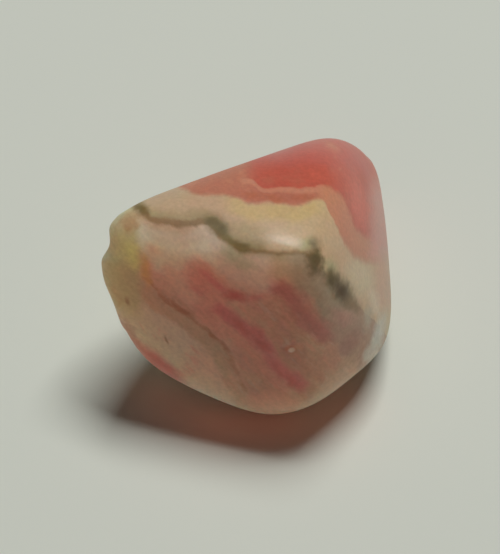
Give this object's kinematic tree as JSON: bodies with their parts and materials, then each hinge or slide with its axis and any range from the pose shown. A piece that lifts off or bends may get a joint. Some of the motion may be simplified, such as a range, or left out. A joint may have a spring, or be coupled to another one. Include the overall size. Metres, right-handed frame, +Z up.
{
  "type": "tumbled rhodochrosite stone",
  "caption": "Polished, tumbled pebble of banded pink rhodochrosite that lies on its flattest side.",
  "frame": {"origin": "middle of the underside of the bounding box, on the surface that the stone lies on", "axes": "+Z up from the flat that the stone lies on, -Y towards the front of the stone, +X to its right"},
  "size_m": [0.0258, 0.0272, 0.0236],
  "materials": {
    "rhodochrosite": "tumbled to a soft polish, banded cream, beige and rose, coral red at one corner, with a thin dark green-grey vein"
  },
  "bodies": {
    "root": {"tumbled_stone": "rhodochrosite"}
  },
  "joints": []
}
